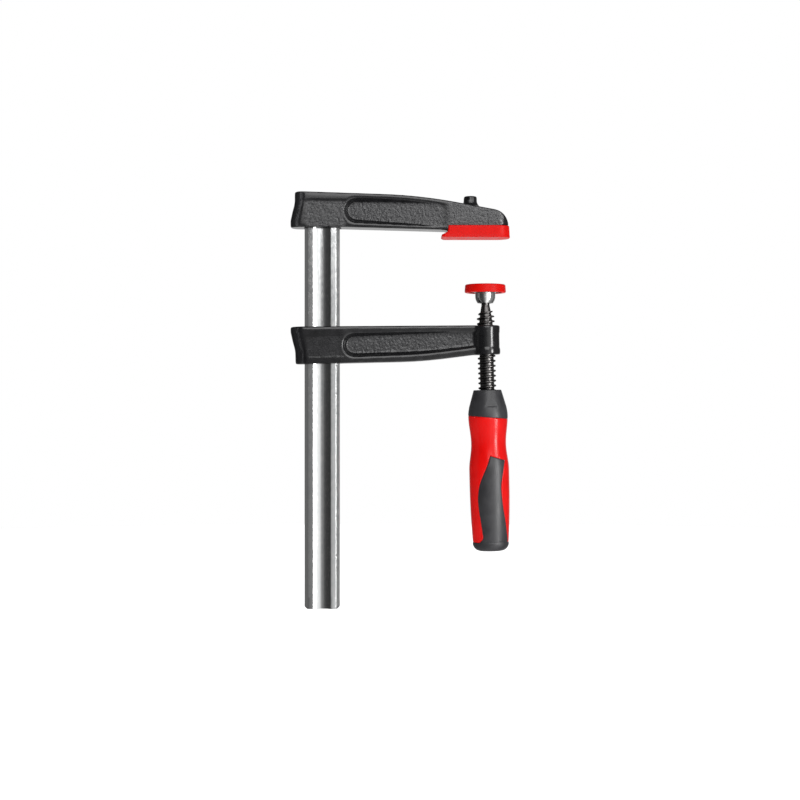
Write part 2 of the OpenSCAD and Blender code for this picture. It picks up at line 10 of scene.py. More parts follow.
import bpy
import numpy as np
import openvdb as vdb
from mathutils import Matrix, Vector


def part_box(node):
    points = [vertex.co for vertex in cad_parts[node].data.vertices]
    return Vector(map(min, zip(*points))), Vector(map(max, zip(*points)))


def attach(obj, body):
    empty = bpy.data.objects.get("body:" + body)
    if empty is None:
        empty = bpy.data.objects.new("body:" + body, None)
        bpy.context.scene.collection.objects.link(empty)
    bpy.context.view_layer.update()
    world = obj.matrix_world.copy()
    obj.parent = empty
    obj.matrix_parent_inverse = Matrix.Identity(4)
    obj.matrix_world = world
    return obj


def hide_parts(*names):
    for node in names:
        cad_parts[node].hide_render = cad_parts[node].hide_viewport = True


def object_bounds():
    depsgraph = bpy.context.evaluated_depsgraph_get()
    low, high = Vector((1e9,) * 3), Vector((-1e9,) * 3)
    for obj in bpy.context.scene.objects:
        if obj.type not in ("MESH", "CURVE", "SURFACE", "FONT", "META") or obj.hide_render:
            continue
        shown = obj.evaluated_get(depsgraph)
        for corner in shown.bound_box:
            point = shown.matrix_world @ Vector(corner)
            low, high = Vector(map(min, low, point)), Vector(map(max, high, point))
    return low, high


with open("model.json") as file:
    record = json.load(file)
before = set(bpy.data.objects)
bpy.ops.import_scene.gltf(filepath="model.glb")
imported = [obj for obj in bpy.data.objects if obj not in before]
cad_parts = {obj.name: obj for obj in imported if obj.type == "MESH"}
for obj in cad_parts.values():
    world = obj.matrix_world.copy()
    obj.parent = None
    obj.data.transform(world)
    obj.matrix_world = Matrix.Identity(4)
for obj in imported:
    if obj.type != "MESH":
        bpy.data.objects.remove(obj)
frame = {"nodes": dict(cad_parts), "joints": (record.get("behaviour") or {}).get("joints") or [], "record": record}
cad_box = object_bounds()

MM = 0.001
JOINTS = {joint["name"]: joint for joint in frame["joints"]}
RANDOM = np.random.default_rng(20)


def box_mm(node):
    """Lowest and highest corner of a CAD node, in millimetres."""
    low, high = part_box(node)
    return np.array(low) / MM, np.array(high) / MM


# ---------------------------------------------------------------- places, all taken from the frame

BALL = np.array(JOINTS["spindle_turn"]["pos_m"]) / MM
SCREW_UP = np.array(JOINTS["spindle_turn"]["axis"], float)
SCREW_SIDE = np.array([0.0, 1.0, 0.0])
SCREW_RIGHT = np.cross(SCREW_SIDE, SCREW_UP)
LEAD = 2 * math.pi / frame["record"]["behaviour"]["couplings"][0]["ratio"] / MM

RAIL_LOW, RAIL_HIGH = box_mm("rail")
FIXED_LOW, FIXED_HIGH = box_mm("fixed_arm")
CAP_LOW, CAP_HIGH = box_mm("plate_cap")
PLATE_LOW, PLATE_HIGH = box_mm("pressure_plate")

RAIL_FLARE = 1.0
RAIL_W = RAIL_HIGH[0] - RAIL_LOW[0] - 2 * RAIL_FLARE
RAIL_T = RAIL_HIGH[1] - RAIL_LOW[1]
RAIL_X = (RAIL_HIGH[0] + RAIL_LOW[0]) / 2
ARM_T = FIXED_HIGH[1] - FIXED_LOW[1]


def screw_space(points):
    """Points given about the ball's centre, with Z along the screw, in the row frame."""
    return BALL + points @ np.array([SCREW_RIGHT, SCREW_SIDE, SCREW_UP])


def about_ball(points):
    """Points given about the ball's centre, upright, in the row frame."""
    return BALL + points


def row_space(points):
    """Points given in the row frame itself, whose origin is on the clamping axis."""
    return points


# ---------------------------------------------------------------- small maths

NEARLY_STRAIGHT = math.radians(84)
SIDE_SHARE = 0.45


def smooth(t):
    """Smooth step from 0 to 1 as t goes from 0 to 1."""
    t = np.clip(t, 0.0, 1.0)
    return t * t * (3 - 2 * t)


def ease(t):
    """Cosine step from 0 to 1 as t goes from 0 to 1."""
    return (1 - np.cos(np.pi * np.clip(t, 0.0, 1.0))) / 2


def arc(centre, radius, start, end, steps):
    """Points of an arc, angles in degrees."""
    angles = np.radians(np.linspace(start, end, steps + 1))
    return [(centre[0] + radius * math.cos(a), centre[1] + radius * math.sin(a)) for a in angles]


def rounded(points, radius, steps=4, closed=True):
    """An outline with its corners replaced by arcs of the radius, where the sides are long enough."""
    points = np.array(points, float)
    count = len(points)
    out = []
    for i in range(count):
        here, before, after = points[i], points[i - 1], points[(i + 1) % count]
        if not closed and i in (0, count - 1):
            out.append(here)
            continue
        a, b = before - here, after - here
        la, lb = np.linalg.norm(a), np.linalg.norm(b)
        a, b = a / la, b / lb
        half = math.acos(np.clip(a @ b, -1, 1)) / 2
        if half > NEARLY_STRAIGHT:
            out.append(here)
            continue
        reach = min(radius / math.tan(half), SIDE_SHARE * la, SIDE_SHARE * lb)
        r = reach * math.tan(half)
        middle = (a + b) / np.linalg.norm(a + b)
        centre = here + middle * r / math.sin(half)
        first, last = here + a * reach - centre, here + b * reach - centre
        for k in range(steps + 1):
            t = k / steps
            turn = first * (1 - t) + last * t
            out.append(centre + turn / np.linalg.norm(turn) * r)
    return np.array(out)


# ---------------------------------------------------------------- meshes


def mesh_object(name, points, faces):
    """A smooth-shaded object from points in millimetres."""
    mesh = bpy.data.meshes.new(name)
    mesh.from_pydata((np.asarray(points, float) * MM).tolist(), [], [list(f) for f in faces])
    mesh.validate()
    mesh.polygons.foreach_set("use_smooth", [True] * len(mesh.polygons))
    mesh.update()
    obj = bpy.data.objects.new(name, mesh)
    bpy.context.scene.collection.objects.link(obj)
    return obj


def ring_faces(rings, segments, closed):
    """Quads between rings of points; a closed profile also joins its last ring to its first."""
    i = np.arange(rings if closed else rings - 1)[:, None]
    j = np.arange(segments)[None, :]
    here, there = i * segments, (i + 1) % rings * segments
    after = (j + 1) % segments
    return np.stack([here + j, here + after, there + after, there + j], -1).reshape(-1, 4)


def ring_surface(name, rings, closed=False):
    """A skin over points with shape (rings, segments, 3). An open one gets a fan at each end."""
    count, segments = rings.shape[:2]
    points = rings.reshape(-1, 3)
    faces = [tuple(f) for f in ring_faces(count, segments, closed)]
    if not closed:
        points = np.vstack([points, rings[0].mean(0), rings[-1].mean(0)])
        start, end = count * segments, count * segments + 1
        last = (count - 1) * segments
        for j in range(segments):
            after = (j + 1) % segments
            faces.append((start, after, j))
            faces.append((end, last + j, last + after))
    return mesh_object(name, points, faces)


def revolved(name, profile, segments, place, closed=False, radius_change=None):
    """A surface of revolution from (radius, height) points, which radius_change(angle, height) may alter."""
    profile = np.array(profile, float)
    angles = np.linspace(0, 2 * np.pi, segments, endpoint=False)
    radius = np.repeat(profile[:, :1], segments, 1)
    height = np.repeat(profile[:, 1:], segments, 1)
    if radius_change is not None:
        radius = radius + radius_change(np.broadcast_to(angles, radius.shape), height)
    rings = np.stack([radius * np.cos(angles), radius * np.sin(angles), height], -1)
    return ring_surface(name, place(rings), closed)


def turned_out(obj):
    """Points the faces outwards."""
    mesh = obj.data
    mesh.calc_loop_triangles()
    points = np.empty(len(mesh.vertices) * 3)
    mesh.vertices.foreach_get("co", points)
    corners = np.empty(len(mesh.loop_triangles) * 3, int)
    mesh.loop_triangles.foreach_get("vertices", corners)
    a, b, c = points.reshape(-1, 3)[corners.reshape(-1, 3)].transpose(1, 0, 2)
    if (a * np.cross(b, c)).sum() < 0:
        mesh.flip_normals()
    return obj


def finished(obj, node, body, slot):
    """Gives a piece its finish, hides the CAD node it stands for and hangs it on the body it moves with."""
    turned_out(obj)
    obj.data.materials.append(MATERIALS[slot])
    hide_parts(node)
    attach(obj, body)
    return obj


def weighted_normals(obj):
    """Keeps broad faces evenly shaded up to their rounded edges."""
    modifier = obj.modifiers.new("weighted normals", "WEIGHTED_NORMAL")
    modifier.mode = "FACE_AREA"
    modifier.weight = 100


# ---------------------------------------------------------------- level sets, for cast and moulded pieces

BAND_SPARE = 3


def cad_surface(node):
    """A CAD node's mesh as points and triangles, in millimetres."""
    mesh = frame["nodes"][node].data
    mesh.calc_loop_triangles()
    points = np.empty(len(mesh.vertices) * 3, np.float32)
    mesh.vertices.foreach_get("co", points)
    triangles = np.empty(len(mesh.loop_triangles) * 3, np.int32)
    mesh.loop_triangles.foreach_get("vertices", triangles)
    quads = np.empty((0, 4), np.uint32)
    return points.reshape(-1, 3) / np.float32(MM), triangles.reshape(-1, 3).astype(np.uint32), quads


def distance_grid(surface, voxel, reach):
    """A grid of signed distances to a closed surface, negative inside, good to the reach from it."""
    points, triangles, quads = surface
    return vdb.FloatGrid.createLevelSetFromPolygons(
        points.astype(np.float32),
        triangles=triangles,
        quads=quads,
        transform=vdb.createLinearTransform(voxelSize=voxel),
        halfWidth=reach / voxel + BAND_SPARE,
    )


def moved_out(surface, distance, voxel):
    """The surface a distance outside (or, if negative, inside) the given one."""
    return distance_grid(surface, voxel, abs(distance)).convertToPolygons(isovalue=distance)


def softened(surface, edge_r, corner_r, voxel):
    """Rounds outside edges to one radius and fills inside corners to another, as a casting has them."""
    surface = moved_out(surface, -edge_r, voxel)
    surface = moved_out(surface, edge_r + corner_r, voxel)
    return moved_out(surface, -corner_r, voxel)


def grain(shape, blur):
    """Smooth random field with unit deviation, blurred over the given number of grid steps."""
    field = RANDOM.standard_normal(shape).astype(np.float32)
    reach = int(3 * blur) + 1
    kernel = np.exp(-np.arange(-reach, reach + 1) ** 2 / (2 * blur**2))
    for axis in range(3):
        total = np.zeros_like(field)
        for step, weight in zip(range(-reach, reach + 1), kernel):
            total += weight.astype(np.float32) * np.roll(field, step, axis)
        field = total
    return field / field.std()


def cell(corner):
    """A corner of a grid in whole steps, as openvdb takes it."""
    return tuple(int(v) for v in corner)


def grid_axes(low, shape, voxel):
    """X, Y and Z of a grid's points in millimetres, each shaped to spread over the grid."""
    x, y, z = (((low[i] + np.arange(shape[i])) * voxel).astype(np.float32) for i in range(3))
    return x[:, None, None], y[None, :, None], z[None, None, :]


def reshaped(surface, voxel, reach, change):
    """Changes a surface through its distances: change(distance, x, y, z) gives the new distances."""
    grid = distance_grid(surface, voxel, reach)
    low, high = (np.array(c) for c in grid.evalActiveVoxelBoundingBox())
    field = np.full(high - low + 1, grid.background, np.float32)
    grid.copyToArray(field, ijk=cell(low))
    field = change(field, *grid_axes(low, field.shape, voxel)).astype(np.float32)
    out = vdb.FloatGrid(grid.background)
    out.transform = grid.transform
    out.gridClass = vdb.GridClass.LEVEL_SET
    out.copyFromArray(field, ijk=cell(low))
    return out.convertToPolygons()


def surface_object(name, surface, node):
    """An object from a surface, kept inside the box of its CAD node."""
    points, triangles, quads = surface
    return mesh_object(name, np.clip(points, *box_mm(node)), [*triangles.tolist(), *quads.tolist()])


def relaxed(obj, rounds, freedom):
    """Evens out small unevenness of a mesh where freedom, from 0 to 1 for each point, allows it."""
    mesh = obj.data
    edges = np.empty(len(mesh.edges) * 2, int)
    mesh.edges.foreach_get("vertices", edges)
    a, b = edges.reshape(-1, 2).T
    points = np.empty(len(mesh.vertices) * 3)
    mesh.vertices.foreach_get("co", points)
    points = points.reshape(-1, 3)
    near = np.maximum(np.bincount(np.concatenate([a, b]), minlength=len(points)), 1)
    for _ in range(rounds):
        sums = [
            np.bincount(a, points[b, i], len(points)) + np.bincount(b, points[a, i], len(points))
            for i in range(3)
        ]
        mean = np.stack(sums, -1) / near[:, None]
        points += (mean - points) * 0.5 * freedom[:, None]
    mesh.vertices.foreach_set("co", points.ravel())
    mesh.update()


# ---------------------------------------------------------------- materials

# a point attribute of the castings, from 0 on smooth skin to 1 on rough and dusty skin
ROUGH_SKIN = "rough_cast"
# sockets of a mix node that mixes colours
MIX_SHARE, MIX_FIRST, MIX_SECOND, MIX_RESULT = 0, 6, 7, 2


def new_material(name, colour, metallic, roughness, specular=0.5):
    """A principled material with constants on its own sockets."""
    material = bpy.data.materials.new(name)
    material.use_nodes = True
    shader = material.node_tree.nodes["Principled BSDF"]
    shader.inputs["Base Color"].default_value = (*colour, 1)
    shader.inputs["Metallic"].default_value = metallic
    shader.inputs["Roughness"].default_value = roughness
    shader.inputs["Specular IOR Level"].default_value = specular
    return material


def texture_node(material, kind, size_mm, stretch):
    """A texture in the piece's own space; stretch makes its grains longer along an axis."""
    nodes, links = material.node_tree.nodes, material.node_tree.links
    place = nodes.new("ShaderNodeTexCoord")
    scale = nodes.new("ShaderNodeMapping")
    scale.inputs["Scale"].default_value = [1 / (size_mm * MM * s) for s in stretch]
    texture = nodes.new(kind)
    texture.inputs["Scale"].default_value = 1.0
    links.new(place.outputs["Object"], scale.inputs["Vector"])
    links.new(scale.outputs["Vector"], texture.inputs["Vector"])
    return texture


def noise(material, size_mm, detail=3.0, stretch=(1, 1, 1), distortion=0.0):
    """Cloudy noise with grains of the given size."""
    texture = texture_node(material, "ShaderNodeTexNoise", size_mm, stretch)
    texture.inputs["Detail"].default_value = detail
    texture.inputs["Distortion"].default_value = distortion
    return texture.outputs["Fac"]


def spots(material, size_mm, stretch=(1, 1, 1)):
    """Irregular cells, as the crystals of a zinc coat."""
    texture = texture_node(material, "ShaderNodeTexVoronoi", size_mm, stretch)
    spread = material.node_tree.nodes.new("ShaderNodeSeparateColor")
    material.node_tree.links.new(texture.outputs["Color"], spread.inputs["Color"])
    return spread.outputs["Red"]


def ranged(material, value, low, high, from_low=0.3, from_high=0.7):
    """Maps a value on to a range; unless said otherwise, from the middle part of a noise."""
    node = material.node_tree.nodes.new("ShaderNodeMapRange")
    node.inputs["From Min"].default_value = from_low
    node.inputs["From Max"].default_value = from_high
    node.inputs["To Min"].default_value = low
    node.inputs["To Max"].default_value = high
    material.node_tree.links.new(value, node.inputs["Value"])
    return node.outputs["Result"]


def blended(material, value, first, second):
    """Mixes two colours, each given as numbers or as a socket."""
    nodes, links = material.node_tree.nodes, material.node_tree.links
    node = nodes.new("ShaderNodeMix")
    node.data_type = "RGBA"
    links.new(value, node.inputs[MIX_SHARE])
    for place, colour in ((MIX_FIRST, first), (MIX_SECOND, second)):
        if isinstance(colour, tuple):
            node.inputs[place].default_value = (*colour, 1)
        else:
            links.new(colour, node.inputs[place])
    return node.outputs[MIX_RESULT]


def calculated(material, operation, first, second):
    """The result of an operation on two sockets, or on a socket and a number."""
    node = material.node_tree.nodes.new("ShaderNodeMath")
    node.operation = operation
    for place, value in zip(node.inputs, (first, second)):
        if isinstance(value, (int, float)):
            place.default_value = value
        else:
            material.node_tree.links.new(value, place)
    return node.outputs["Value"]


def curvature_mask(material, low, high):
    """From 0 to 1 as the mesh's own curvature goes from low to high: 0.5 is flat, edges are more."""
    nodes = material.node_tree.nodes
    geometry = nodes.new("ShaderNodeNewGeometry")
    return ranged(material, geometry.outputs["Pointiness"], 0.0, 1.0, low, high)


def connect(material, socket, name):
    """Links a socket to the shader's input of that name."""
    shader = material.node_tree.nodes["Principled BSDF"]
    material.node_tree.links.new(socket, shader.inputs[name])


def bumped(material, layers):
    """Adds bump from (texture, height in mm) layers, one on top of the other."""
    nodes, links = material.node_tree.nodes, material.node_tree.links
    below = None
    for value, height in layers:
        bump = nodes.new("ShaderNodeBump")
        bump.inputs["Distance"].default_value = height * MM
        links.new(value, bump.inputs["Height"])
        if below is not None:
            links.new(below, bump.inputs["Normal"])
        below = bump.outputs["Normal"]
    connect(material, below, "Normal")


def galvanised_steel():
    """Zinc coat on a drawn bar: faint crystals, and draw marks along the rail."""
    material = new_material("galvanised_steel", (0.62, 0.62, 0.61), 1.0, 0.3)
    crystals = spots(material, 1.3, (1, 1, 1.6))
    marks = noise(material, 0.35, 4, (1, 1, 60))
    cloud = noise(material, 9, 4, (1, 1, 2.5))
    shade = ranged(material, crystals, 0, 1, 0, 1)
    tone = blended(material, shade, (0.61, 0.62, 0.62), (0.67, 0.67, 0.665))
    tone = blended(material, ranged(material, cloud, 0, 0.4), tone, (0.55, 0.56, 0.57))
    connect(material, tone, "Base Color")
    connect(material, ranged(material, crystals, 0.14, 0.2, 0, 1), "Roughness")
    bumped(material, [(marks, 0.004), (noise(material, 1.6, 2), 0.0012)])
    return material


def black_enamel():
    """Gloss black dipped enamel over cast iron, greyer and duller where the skin is rough; its crevices are
    painted near black and lose most of their shine, as painted shade.
    """
    material = new_material("black_enamel", (0.005, 0.005, 0.005), 0.0, 0.28)
    skin = material.node_tree.nodes.new("ShaderNodeAttribute")
    skin.attribute_name = ROUGH_SKIN
    skin = skin.outputs["Fac"]
    cloud = noise(material, 6, 5)
    grit = noise(material, 0.6, 3)
    shade = ranged(material, cloud, 0, 1)
    tone = blended(material, shade, (0.004, 0.004, 0.0045), (0.008, 0.008, 0.009))
    dusty = blended(material, ranged(material, grit, 0, 1), (0.004, 0.004, 0.005), (0.09, 0.09, 0.093))
    # painted shade: concave places get near black in place of the grey dust
    dusty = blended(material, curvature_mask(material, 0.42, 0.5), (0.004, 0.004, 0.004), dusty)
    tone = blended(material, skin, tone, dusty)
    tone = blended(material, curvature_mask(material, 0.57, 0.68), tone, (0.02, 0.02, 0.021))
    connect(material, tone, "Base Color")
    # painted shade: crevices lose most of their shine, so they stay dark as if shaded
    crevice = curvature_mask(material, 0.43, 0.49)
    connect(material, ranged(material, crevice, 0.08, 0.5, 0, 1), "Specular IOR Level")
    dullness = ranged(material, skin, 0, 0.14, 0, 1)
    connect(material, calculated(material, "ADD", ranged(material, cloud, 0.14, 0.2), dullness), "Roughness")
    relief = calculated(material, "MULTIPLY", grit, ranged(material, skin, 0.02, 1, 0, 1))
    bumped(material, [(noise(material, 5, 2), 0.01), (relief, 0.12)])
    return material


def spindle_steel():
    """Dark burnished steel with a film of oil; the crests shine from use."""
    material = new_material("spindle_steel", (0.07, 0.065, 0.06), 1.0, 0.3)
    cloud = noise(material, 3, 4)
    tone = blended(material, ranged(material, cloud, 0, 1), (0.07, 0.067, 0.066), (0.12, 0.116, 0.113))
    tone = blended(material, curvature_mask(material, 0.52, 0.6), tone, (0.19, 0.18, 0.175))
    connect(material, tone, "Base Color")
    connect(material, ranged(material, cloud, 0.26, 0.38), "Roughness")
    bumped(material, [(noise(material, 0.6, 2), 0.004)])
    return material


def zinc_plate():
    """Bright zinc plating over turned steel."""
    material = new_material("zinc_plate", (0.75, 0.75, 0.74), 1.0, 0.18)
    rings = noise(material, 0.3, 3, (20, 20, 1))
    cloud = noise(material, 2.5, 4)
    tone = blended(material, ranged(material, cloud, 0, 1), (0.66, 0.67, 0.68), (0.8, 0.8, 0.78))
    connect(material, tone, "Base Color")
    connect(material, ranged(material, cloud, 0.12, 0.24), "Roughness")
    bumped(material, [(rings, 0.006)])
    return material


def spring_steel():
    """Dull drawn spring wire."""
    material = new_material("spring_steel", (0.35, 0.35, 0.36), 1.0, 0.4)
    cloud = noise(material, 0.8, 4)
    tone = blended(material, ranged(material, cloud, 0, 1), (0.26, 0.26, 0.27), (0.42, 0.42, 0.43))
    connect(material, tone, "Base Color")
    connect(material, ranged(material, cloud, 0.32, 0.48), "Roughness")
    bumped(material, [(cloud, 0.008)])
    return material


def red_cap_plastic():
    """Satin moulded plastic with a slight flow pattern and a fine grain."""
    material = new_material("red_cap_plastic", (0.58, 0.005, 0.004), 0.0, 0.32, specular=0.1)
    cloud = noise(material, 7, 4, distortion=0.6)
    tone = blended(material, ranged(material, cloud, 0, 1), (0.53, 0.0035, 0.002), (0.58, 0.005, 0.003))
    tone = blended(material, curvature_mask(material, 0.53, 0.62), tone, (0.64, 0.009, 0.006))
    connect(material, tone, "Base Color")
    connect(material, ranged(material, cloud, 0.3, 0.42), "Roughness")
    bumped(material, [(noise(material, 0.25, 3), 0.008), (noise(material, 4, 2), 0.02)])
    return material


def red_handle_plastic():
    """Gloss moulded plastic, slightly rippled where it shrank."""
    material = new_material("red_handle_plastic", (0.6, 0.004, 0.003), 0.0, 0.22, specular=0.24)
    cloud = noise(material, 12, 4, distortion=0.5)
    tone = blended(material, ranged(material, cloud, 0, 1), (0.61, 0.003, 0.0025), (0.67, 0.0045, 0.0035))
    connect(material, tone, "Base Color")
    connect(material, ranged(material, cloud, 0.18, 0.24), "Roughness")
    bumped(material, [(noise(material, 9, 2), 0.05), (noise(material, 0.3, 3), 0.004)])
    return material


def soft_grip():
    """Satin black thermoplastic rubber with a fine moulded grain and a trace of handling."""
    material = new_material("soft_grip", (0.024, 0.024, 0.025), 0.0, 0.42)
    cloud = noise(material, 8, 5)
    tone = blended(material, ranged(material, cloud, 0, 1), (0.019, 0.019, 0.021), (0.033, 0.033, 0.036))
    connect(material, tone, "Base Color")
    connect(material, ranged(material, cloud, 0.38, 0.48), "Roughness")
    bumped(material, [(noise(material, 0.22, 4), 0.02), (noise(material, 3, 2), 0.03)])
    return material


MATERIALS = {
    make.__name__: make()
    for make in (
        galvanised_steel, black_enamel, spindle_steel, zinc_plate,
        spring_steel, red_cap_plastic, red_handle_plastic, soft_grip,
    )
}


# ---------------------------------------------------------------- rail

GROOVE_W, GROOVE_D = 12.0, 1.8
CHAMFER_W, CHAMFER_T = 2.7, 2.0
CROWN_W, CROWN_DROP = 0.3, 0.222
END_CORNER = 1.6
LUG_LOW, LUG_H, LUG_PROUD = 2.2, 3.8, 0.6
LUG_Y, LUG_FADE = 3.4, 0.9
FLARE_H, FLARE_Y = 4.0, 3.5
OUTER_W = 1.2
FINE_STEP, FINE_LOW, FINE_HIGH = 0.2, 8, 6
COARSE_ROWS = 90


def rail_section():
    """Cross-section of the rail: an octagon with a concave groove in each broad side."""
    half_w, half_t = RAIL_W / 2, RAIL_T / 2
    flat_w, flat_t = half_w - CHAMFER_W, half_t - CHAMFER_T
    groove_r = ((GROOVE_W / 2) ** 2 + GROOVE_D**2) / (2 * GROOVE_D)
    turn = math.degrees(math.asin(GROOVE_W / 2 / groove_r))
    crown = [(flat_w + CROWN_W, half_t - CROWN_DROP), (GROOVE_W / 2 + 1.2, half_t - CROWN_DROP / 9)]
    top = [(half_w, flat_t), *crown]
    top += arc((0, half_t - GROOVE_D + groove_r), groove_r, 270 + turn, 270 - turn, 24)
    top += [*((-x, y) for x, y in crown[::-1]), (-half_w, flat_t)]
    outline = top + [(-x, -y) for x, y in top]
    return rounded(outline, 0.45)


def rail():
    """The bar, with a flared top end and lugs at its free end; its rows are finer near both."""
    section = rail_section()
    half_w = RAIL_W / 2
    bottom, top = RAIL_LOW[2], RAIL_HIGH[2]
    fine = np.linspace(0, FINE_LOW, round(FINE_LOW / FINE_STEP) + 1)
    coarse = np.linspace(bottom + FINE_LOW, top - FINE_HIGH, COARSE_ROWS)[1:-1]
    heights = np.concatenate([bottom + fine, coarse, top - fine[round(FINE_HIGH / FINE_STEP)::-1]])
    rings = []
    for z in heights:
        up, down = z - bottom, top - z
        x, y = section[:, 0].copy(), section[:, 1].copy()
        limit = half_w - max(0.0, END_CORNER - up)
        outer = smooth((np.abs(x) - (half_w - OUTER_W)) / 1.0)
        lug = smooth((up - LUG_LOW + 0.3) / 0.6) * smooth((LUG_LOW + LUG_H - up) / (0.6 * LUG_H))
        flare = smooth((FLARE_H - down) / FLARE_H)
        proud = LUG_PROUD * lug * smooth((LUG_Y - np.abs(y)) / LUG_FADE)
        proud += RAIL_FLARE * flare * (np.abs(y) < FLARE_Y)
        x = np.clip(x, -limit, limit) + np.sign(x) * outer * proud
        rings.append(np.stack([RAIL_X + x, y, np.full_like(x, z)], -1))
    rings = np.array(rings)
    count, segments = rings.shape[:2]
    faces = [tuple(f) for f in ring_faces(count, segments, False)]
    last = (count - 1) * segments
    faces += [tuple(range(segments))[::-1], tuple(range(last, last + segments))]
    obj = mesh_object("rail_bar", rings.reshape(-1, 3), faces)
    weighted_normals(obj)
    return finished(obj, "rail", "frame", "galvanised_steel")


# ---------------------------------------------------------------- cast arms

CAST_VOXEL, CAST_REACH = 0.45, 1.2
CAST_EDGE_R, CAST_CORNER_R = 0.6, 0.5
CAST_GRAIN, GRAIN_BLUR, GRAIN_SINK = 0.085, 0.6, 0.6
FIXED_STEP_D, SLIDER_STEP_D = 0.3, 0.12
FIXED_DUST, SLIDER_DUST = 1.0, 0.6
EVEN_ROUNDS, EVEN_BELOW = 8, 0.3
BORE_ROOM = 0.3


def facing_out(share):
    """1 where a surface faces the front or the back and 0 on walls, from the Y share of its normal."""
    return smooth((np.abs(share) - 0.8) / 0.15)


def skin_normal(field):
    """Y share of the surface's normal in a grid of distances."""
    return np.gradient(field, axis=1) / CAST_VOXEL


def rough_cast(obj, roughness_at, dust):
    """Evens out the smooth parts of a casting and stores how rough and dusty its skin is."""
    count = len(obj.data.vertices)
    points, normals = np.empty(count * 3), np.empty(count * 3, np.float32)
    obj.data.vertices.foreach_get("co", points)
    obj.data.vertices.foreach_get("normal", normals)
    x, y, z = points.reshape(-1, 3).T / MM
    rough = roughness_at(x, y, z) * facing_out(normals[1::3])
    relaxed(obj, EVEN_ROUNDS, 1 - smooth(rough / EVEN_BELOW))
    skin = obj.data.attributes.new(ROUGH_SKIN, "FLOAT", "POINT")
    skin.data.foreach_set("value", (rough * dust).astype(np.float32))


def fixed_arm():
    """Cast fixed arm: flat sides with a low step over the rail, rough pockets and nose, a smooth nub."""
    strip_z, strip_slope = 25.5, math.tan(math.radians(0.8))
    recess_x, nose_x = -92, -30.0
    nub_x, nub_r, nub_foot_z = -10.3, 4.65, 25.2
    left_x = RAIL_X - RAIL_W / 2
    body = softened(cad_surface("fixed_arm"), CAST_EDGE_R, CAST_CORNER_R, CAST_VOXEL)

    def roughness_at(x, y, z):
        hollow = smooth((ARM_T / 2 - 0.12 - np.abs(y)) / 0.4)
        rough = np.maximum(np.maximum(hollow, smooth((x - nose_x) / 8)), 0.02)
        on_nub = smooth((nub_r + 1 - np.hypot(x - nub_x, y)) / 0.6) * smooth((z - nub_foot_z) / 1.2)
        return rough * (1 - on_nub)

    def cast_skin(field, x, y, z):
        below_strip = smooth((strip_z - (x - left_x) * strip_slope - z) / 0.4)
        over_rail = smooth((recess_x - x) / 6) * smooth((x - left_x + 1) / 4)
        side = ARM_T / 2 - FIXED_STEP_D * below_strip * over_rail
        field = np.maximum(field, np.abs(y) - side)
        rough = roughness_at(x, y, z) * facing_out(skin_normal(field))
        return field + CAST_GRAIN * (rough**2 * grain(field.shape, GRAIN_BLUR) + GRAIN_SINK)

    surface = reshaped(body, CAST_VOXEL, CAST_REACH, cast_skin)
    obj = surface_object("fixed_arm_casting", surface, "fixed_arm")
    rough_cast(obj, roughness_at, FIXED_DUST)
    return finished(obj, "fixed_arm", "frame", "black_enamel")


